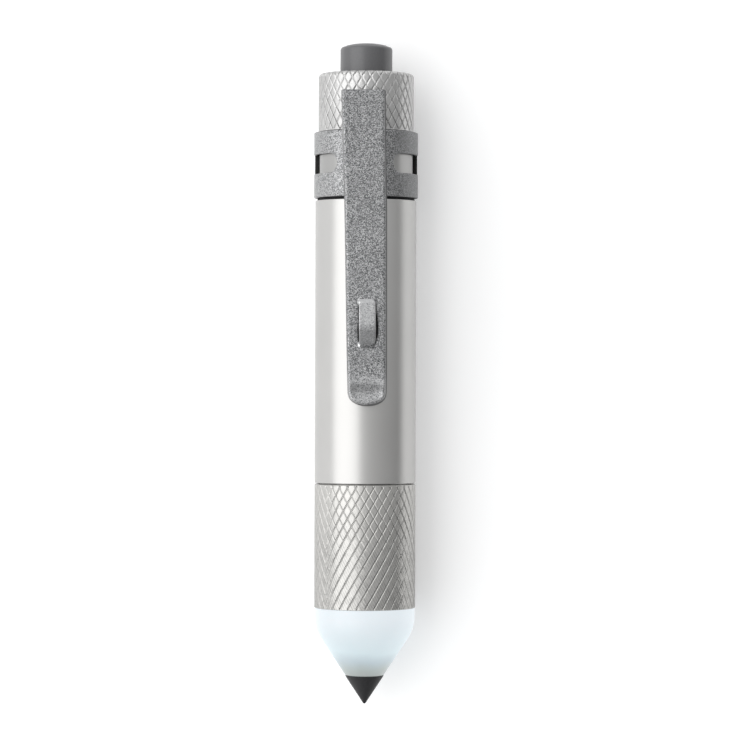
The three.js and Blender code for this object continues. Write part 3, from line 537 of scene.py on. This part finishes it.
def block(outline, axis, low, high):
    """A prism in millimetres: an outline of (a, b) carried along x (a, b = station, height) or along z
    (a, b = x, station)."""
    count = len(outline)
    area = sum(a[0] * b[1] - b[0] * a[1] for a, b in zip(outline, outline[1:] + outline[:1]))
    if area < 0:
        outline = outline[::-1]
    spot = (lambda a, b, c: (c, a, b)) if axis == "x" else (lambda a, b, c: (a, b, c))
    vertices = [spot(a, b, low) for a, b in outline] + [spot(a, b, high) for a, b in outline]
    faces = [list(range(count))[::-1], list(range(count, 2 * count))]
    faces += [[k, (k + 1) % count, count + (k + 1) % count, count + k] for k in range(count)]
    return finished_mesh("block", vertices, faces)


def in_millimetres(piece):
    """Takes a turned piece back to millimetres round the pen's axis, for joining and cutting."""
    for vertex in piece.data.vertices:
        vertex.co = vertex.co / mm + Vector((0, half_length, -axis_height))
    return piece


def shaped(first, *steps):
    """Joins other blocks to a block, or cuts it with them."""
    for operation, other in steps:
        modifier = first.modifiers.new("joint", "BOOLEAN")
        modifier.operation, modifier.object, modifier.solver = operation, other, "EXACT"
    applied(first)
    for _, other in steps:
        bpy.data.objects.remove(other)
    return first


def cast(name, piece, voxel, smoothing, settled=lambda spot: spot):
    """Melts the edges of blocks together as a casting's are, and puts the piece on the pen."""
    melt = piece.modifiers.new("melt", "REMESH")
    melt.mode, melt.voxel_size = "VOXEL", voxel
    smooth = piece.modifiers.new("smooth", "SMOOTH")
    smooth.factor, smooth.iterations = 0.5, smoothing
    applied(piece)
    for vertex in piece.data.vertices:
        vertex.co = (settled(vertex.co) + Vector((0, -half_length, axis_height))) * mm
    piece.data.polygons.foreach_set("use_smooth", [True] * len(piece.data.polygons))
    piece.data.materials.clear()
    piece.name = name
    return piece


band_radius, slot_station, slot_half = 7.2, 74.7, 1.34
slot_start, slot_end = 33, 98  # degrees from the clip


def slot_cutter(side):
    """A chain of wedges that cuts one of the band's slots, with its upper end round. The right slot
    starts two degrees nearer the top, because the arm leans to the left there."""
    start, end, steps = math.radians(slot_start - side), math.radians(slot_end), 40
    edge = slot_half / band_radius
    vertices, faces = [], []
    for k in range(steps + 1):
        t = (1 - math.cos(math.pi * k / steps)) / 2
        angle = start + (end - start) * t
        inset = (angle - start) / edge
        rise = max(0.04, slot_half * math.sqrt(1 - min(1, max(0, 1 - inset)) ** 2))
        for radius, up in ((6.6, -rise), (9.0, -rise), (9.0, rise), (6.6, rise)):
            vertices.append((
                side * radius * math.sin(angle), slot_station + up, radius * math.cos(angle)))
    for k in range(steps):
        for e in range(4):
            n = (e + 1) % 4
            quad = [4 * k + e, 4 * k + 4 + e, 4 * k + 4 + n, 4 * k + n]
            faces.append(quad if side > 0 else quad[::-1])
    first, last = [0, 1, 2, 3], [4 * steps + e for e in (3, 2, 1, 0)]
    faces += [first, last] if side > 0 else [first[::-1], last[::-1]]
    return finished_mesh("slot", vertices, faces)


ring_outline = eased([(6.7, 70.08), (band_radius, 70.08), (band_radius, 79.15), (6.1, 79.15),
                      (6.1, 78.65), (6.7, 78.65)], 0.12)
band_ring = in_millimetres(turned("ring", ring_outline, 144))
pad = block([(73.9, 6.9), (75.5, 6.9), (75.5, 7.47), (73.9, 7.47)], "x", -2.0, 2.0)
slotted = shaped(
    band_ring, ("UNION", pad), ("DIFFERENCE", slot_cutter(1)), ("DIFFERENCE", slot_cutter(-1)))
band = cast("clip_band_casting", slotted, 0.112, 2)
band.data.materials.append(cast_steel)


def share_of(value, start, end):
    """How far a value has come from start to end, from 0 to 1."""
    return min(1, max(0, (value - start) / (end - start)))


def painted_slot_shade(x, station, height):
    """Painted shade: the slots' lower ends, painted near black as if in shadow, and the right side a
    little darker, away from the lamp.
    """
    off_top = math.degrees(abs(math.atan2(x, height)))
    under_skin = math.hypot(x, height) < band_radius - 0.04
    if slot_end - 3 < off_top < slot_end + 1 and abs(station - slot_station) < 1.5 and under_skin:
        return 1.0
    return 0.15 * share_of(x, 2.8, 5.3)


marked_where(band, "grimed", painted_slot_shade)
# Painted light: the band's left side, toward the lamp, is made lighter and given softer grain.
marked_where(band, "rubbed", lambda x, station, height: 0.9 * share_of(-x, 3.2, 5.6))
fitted(band, "clip_band", "cast_steel", "clip_band")


# Clip's arm: a tapering strip that stands a little off the barrel, dips to touch it near its end and
# turns up there. A strap for a lanyard is pushed up out of it between two slits.
arm_thickness = 1.0
straight_part = [(48.5, 7.68), (56.0, 7.72), (62.0, 7.6), (67.2, 7.55), (90.0, 7.55)]
underside = [(41.2, 7.75), (42.2, 7.3), (43.2, 7.12), (44.3, 7.3), (46.2, 7.6)] + straight_part
upper_side = [(41.2, 8.60), (41.75, 8.57), (42.85, 8.32), (43.15, 8.33), (44.6, 8.77), (45.7, 8.64),
              (46.8, 8.62)] + [(s, height + arm_thickness) for s, height in straight_part]


def arm_height(side, station):
    """Height over the pen's axis of the strip's upper side or underside."""
    station = max(side[0][0], station)
    for (a, low), (b, high) in zip(side, side[1:]):
        if station <= b:
            t = (station - a) / (b - a)
            return low + (high - low) * t * t * (3 - 2 * t)


stations = steps_between(41.0, 84.5, 0.2)
side_view = ([(s, arm_height(underside, s)) for s in stations]
             + [(s, arm_height(upper_side, s)) for s in reversed(stations)])
right_side = [(0.0, 41.33), (0.5, 41.36), (1.0, 41.45), (1.5, 41.61), (1.95, 41.85), (2.3, 42.15),
              (2.56, 42.6), (2.68, 43.1), (2.75, 47.0), (3.05, 84.5)]
plan = [(-x, s) for x, s in reversed(right_side[1:])] + right_side
strap_centre, strap_half, strap_rise, strap_thickness = 52.6, 3.35, 1.35, 0.7
strap_base = 7.72 + arm_thickness
strap_arch = [(1.06, 0.0), (0.98, 0.12), (0.84, 0.4), (0.72, 0.52), (0.5, 0.66), (0.25, 0.84),
              (0.0, 0.97), (-0.08, 0.98), (-0.16, 0.93), (-0.4, 0.74), (-0.6, 0.56), (-0.8, 0.36),
              (-0.92, 0.16), (-1.0, 0.0)]


def strap_view(inset, foot):
    """Outline of the strap from the side, or of the tunnel under it, down to a foot's height."""
    half, rise = strap_half - inset, strap_rise - inset
    return ([(strap_centre - half, foot), (strap_centre + half, foot)]
            + [(strap_centre + half * a, strap_base + rise * b) for a, b in strap_arch])


def strap_plan(left, right):
    """Outline of the strap from above: square at the tail end, round at the nib end."""
    outline = [(-1.0, 1.0), (0.8, 1.0), (1.0, 0.85), (1.0, -0.6), (0.9, -0.82), (0.65, -0.96),
               (0.2, -1.0), (-0.5, -1.0), (-0.85, -0.93), (-1.0, -0.8)]
    return [(right * a if a > 0 else -left * a, strap_centre + strap_half * b) for a, b in outline]


strap = shaped(block(strap_view(0.0, 8.2), "x", -2.0, 2.0),
               ("INTERSECT", block(strap_plan(-1.05, 1.25), "z", 6.0, 12.0)))
slit_half = strap_half - 0.75
window = block([(-1.0, strap_centre - slit_half), (-1.0, strap_centre + slit_half),
                (1.2, strap_centre + slit_half), (1.2, strap_centre - slit_half)], "z", 6.0, 8.4)
slits = block([(x, strap_centre + off_strap) for x, off_strap in (
    (-1.05, slit_half), (1.25, 1.9), (1.5, 0.9), (1.6, -0.4), (1.55, -1.5), (1.3, -2.2),
    (-1.12, -slit_half), (-1.18, -0.9), (-1.05, 0.1))], "z", 8.3, 10.5)
tunnel = block(strap_view(strap_thickness, 6.5), "x", -1.05, 1.25)
strip = shaped(block(side_view, "x", -4.0, 4.0), ("INTERSECT", block(plan, "z", 6.0, 12.0)),
               ("DIFFERENCE", window), ("DIFFERENCE", slits), ("UNION", strap), ("DIFFERENCE", tunnel))
draft, crest_round, rim_rise = 0.2, 0.1, 0.16
lean_station, front_lean, rear_lean = 68, 0.0107, 0.0118


def eased_and_leaning(spot):
    """Gives the strip's sides their draft and a small round at the top, dishes its end, and leans the
    arm, its nib end to the right and its tail end to the left."""
    x, station, height = spot
    top = arm_height(upper_side, station)
    crest = share_of(height, top - 0.15, top)
    inward = draft * (1.4 if x > 0 else 1) * share_of(height, top - 0.8, top)
    inward += crest_round * (1 - math.sqrt(1 - crest * crest))
    half = 2.71 + (station - 47) * 0.009
    near_side, near_end = share_of(abs(x), half - 1.3, half), share_of(station, 42.9, 41.6)
    rim = rim_rise * share_of(abs(x), 0.9, 2.6) ** 2 * share_of(station, 45.2, 43.6)
    rim *= share_of(height, top - 0.5, top)
    lean = front_lean * (lean_station - station) - rear_lean * max(0, station - lean_station)
    return Vector((x - math.copysign(inward * near_side, x) + lean,
                   station + inward * 1.3 * near_end, height + rim))


arm = cast("clip_arm_casting", strip, 0.09, 6, eased_and_leaning)
arm.data.materials.append(cast_steel)


def wear_and_lit_places(x, station, height):
    """The strap's top and the turned-up end, which cloth wears smooth, with the strap's upper half made
    lighter as painted light, and painted highlights on the strap's two feet and most of all their left
    corners."""
    off_strap = station - strap_centre
    strap_top = share_of(height, strap_base + 0.15, strap_base + 0.55)
    strap_top *= 0.9 + 0.6 * share_of(off_strap, -1.1, -0.5)
    end = share_of(station, 45.9, 44.7)
    feet = share_of(height, strap_base + 0.03, strap_base + 0.15)
    feet *= share_of(abs(off_strap - 0.1), 2.3, 2.75) * (abs(x) < 1.6)
    left_foot = share_of(x, -0.4, -0.8) if off_strap < 0 else 1
    corner = share_of(math.hypot(x + 0.86, abs(off_strap + 0.03) - 2.9), 0.31, 0.12)
    corner *= height > strap_base - 0.05
    return max(strap_top, end, 2 * feet * left_foot, 2.9 * corner)


def painted_slit_and_side_shade(x, station, height):
    """Painted shade: the slits beside the strap and the surfaces below the strip's top there are painted
    near black as if in shadow, but not left of the upper slit. The strap's lower half is a little
    darker, and the arm's right side and lower end edge are darker."""
    off_strap = station - strap_centre
    if x < -0.9 and 0 < off_strap < 2.75:
        return 0.0
    if abs(x - 0.17) < 1.75 and abs(off_strap) < 2.75:
        shaded_lower_strap = 0.15 * share_of(off_strap, -0.5, -1.1) * (height > strap_base + 0.2)
        return max(shaded_lower_strap, share_of(height, strap_base - 0.12, strap_base - 0.27))
    top = arm_height(upper_side, station)
    return 0.6 * share_of(height, top - 0.1, top - 0.4) * (x > 2.3 or (station < 42.4 and x > -1.0))


marked_where(arm, "rubbed", wear_and_lit_places)
marked_where(arm, "grimed", painted_slit_and_side_shade)
fitted(arm, "clip_arm", "cast_steel", "clip_arm")


# Inner pieces, which show when the head or the cap is unscrewed: brass cup and retaining ring, clear
# lamp with tinned legs, green boards, moulded plastics, and one dry cell in a plain dark jacket.
def plain_finish(name, metallic, roughness, dark, light, per_mm, strength, **more):
    """A finish whose tone and gloss vary a little in spots, so many to a millimetre."""
    _, shader, here = new_material(name, metallic, roughness, light, **more)
    spots = grain(here, per_mm, 3.0)
    feed(shader,
         Base_Color=spots.to_color(dark, light),
         Roughness=roughness * 0.85 + spots * roughness * 0.3,
         Normal=bumped(spots, strength, 0.02))


plain_finish("brass", 1.0, 0.28, (0.52, 0.33, 0.10), (0.62, 0.42, 0.15), 3.0, 0.1)
plain_finish("copper", 1.0, 0.3, (0.60, 0.24, 0.12), (0.72, 0.33, 0.18), 3.0, 0.1)
plain_finish("spring_steel", 1.0, 0.22, (0.48, 0.48, 0.47), (0.58, 0.58, 0.57), 4.0, 0.1)
plain_finish("tinned_wire", 1.0, 0.3, (0.55, 0.55, 0.53), (0.66, 0.66, 0.64), 4.0, 0.15)
plain_finish("clear_epoxy", 0.0, 0.08, (0.75, 0.78, 0.72), (0.85, 0.87, 0.80), 0.5, 0.05,
             Transmission_Weight=0.85, IOR=1.54)
plain_finish("black_plastic", 0.0, 0.45, (0.012, 0.013, 0.015), (0.02, 0.021, 0.023), 4.0, 0.2)
plain_finish("white_plastic", 0.0, 0.45, (0.62, 0.61, 0.57), (0.72, 0.71, 0.67), 4.0, 0.15)
plain_finish("green_board", 0.0, 0.3, (0.01, 0.09, 0.035), (0.02, 0.14, 0.055), 1.2, 0.1)
plain_finish("dark_ferrite", 0.1, 0.6, (0.02, 0.019, 0.02), (0.045, 0.043, 0.045), 6.0, 0.5)
plain_finish("cell_jacket", 0.3, 0.3, (0.03, 0.045, 0.06), (0.04, 0.06, 0.08), 0.4, 0.03)


def winding_tree():
    """A tree that winds a wire round the pen's axis, with its end turns closed."""
    tree, inputs = started_tree("wind spring", [
        "From", "To", "First radius", "Last radius", "Wire", "Turns", "Points a turn"])
    share = Wire(tree).add("GeometryNodeSplineParameter", output="Factor")
    angle = share * inputs["Turns"] * (2 * math.pi)
    radius = inputs["First radius"] + (inputs["Last radius"] - inputs["First radius"]) * share
    closing = (share * (2 * math.pi)).math("SINE") * 0.12
    station = inputs["From"] + inputs["Wire"] / 2 + (
        inputs["To"] - inputs["From"] - inputs["Wire"]) * (share - closing)
    place_on_wire = share.add("ShaderNodeCombineXYZ", {}, {
        0: radius * angle.math("SINE") * mm, 1: (station - half_length) * mm,
        2: (radius * angle.math("COSINE") + axis_height) * mm})
    wire = share.add("GeometryNodeCurvePrimitiveLine")
    wire = wire.add("GeometryNodeResampleCurve", {}, {
        "Curve": wire, "Count": inputs["Turns"] * inputs["Points a turn"]})
    wire = wire.add("GeometryNodeSetPosition", {}, {"Geometry": wire, "Position": place_on_wire})
    section = share.add("GeometryNodeCurvePrimitiveCircle", {}, {
        "Resolution": 10, "Radius": inputs["Wire"] * (mm / 2)})
    wire = wire.add("GeometryNodeCurveToMesh", {}, {
        "Curve": wire, "Profile Curve": section, "Fill Caps": True})
    return ended_tree(tree, wire, inputs)


wind_spring = winding_tree()
return_spring = made_by(wind_spring, finished_mesh("return_spring_coil", [], []), {
    "From": 76.05, "To": 80.5, "First radius": 2.175, "Last radius": 2.175,
    "Wire": 0.35, "Turns": 6.0, "Points a turn": 32.0}, finishes["spring_steel"])
return_spring.data.polygons.foreach_set("use_smooth", [True] * len(return_spring.data.polygons))
fitted(return_spring, "switch", "spring_steel", "switch_return_spring")
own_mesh(return_spring)

for part in frame["record"]["subparts"]:
    node = frame["nodes"][part["node"]]
    node.data.materials.clear()
    node.data.materials.append(finishes[part["material_slot"]])


# Stage: a white sheet under the pen, a long soft lamp to the upper left and a plain grey room. The
# camera looks straight down from a little under half a metre, as the photograph does.
floor = finished_mesh("floor", [(-3, -3, 0), (3, -3, 0), (3, 3, 0), (-3, 3, 0)], [[0, 1, 2, 3]])
paper, shader, here = new_material(
    "white_paper", 0.0, 0.9, (0.9, 0.9, 0.9), Specular_IOR_Level=0.0, Emission_Strength=1.0)
rays = [here.add("ShaderNodeLightPath", output=f"Is {kind} Ray")
        for kind in ("Camera", "Glossy", "Transmission")]
seen = rays[0].math("MAXIMUM", rays[1]).math("MAXIMUM", rays[2])
fibre = grain(here, 0.8, 3.0)
feed(shader, Emission_Color=(seen * 0.2).to_color((0, 0, 0), (1, 1, 1)), Roughness=0.85 + fibre * 0.1)
floor.data.materials.append(paper)

world = bpy.data.worlds.new("room")
bpy.context.scene.world = world
world.use_nodes = True
east, north, up = Wire(world.node_tree).add("ShaderNodeTexCoord", output="Generated").parts()
level = 0.81 + north * 0.36 - east * 0.33 - (1 - up * 3).held() * east.held() * 0.33
world.node_tree.links.new(level.to_color((0, 0, 0), (0.995, 1, 1.005)).socket,
                          world.node_tree.nodes["Background"].inputs["Color"])


def soft_lamp(name, tilt, distance, width, length, brightness):
    """A lamp over the pen's middle, tilted about the pen's axis by an angle to the left."""
    lamp = bpy.data.objects.new(name, bpy.data.lights.new(name, "AREA"))
    lamp.data.shape, lamp.data.size, lamp.data.size_y = "RECTANGLE", width, length
    lamp.data.energy = brightness * math.pi * width * length
    angle = math.radians(tilt)
    lamp.location = (-distance * math.sin(angle), 0.12, distance * math.cos(angle))
    lamp.rotation_euler = (0, -angle, 0)
    lamp.visible_camera = False
    bpy.context.scene.collection.objects.link(lamp)


soft_lamp("left_softbox", 44.5, 0.5, 0.60, 1.0, 1.14)

camera = bpy.data.objects.new("camera", bpy.data.cameras.new("camera"))
camera.data.sensor_width, camera.data.lens = 36.0, 154.3
camera.data.clip_start = 0.01
camera.location = (0.00133, -0.00019, 0.4532)
camera.rotation_euler = (0, 0, math.radians(0.19))
bpy.context.scene.collection.objects.link(camera)
bpy.context.scene.camera = camera
bpy.context.scene.view_settings.view_transform = "Standard"
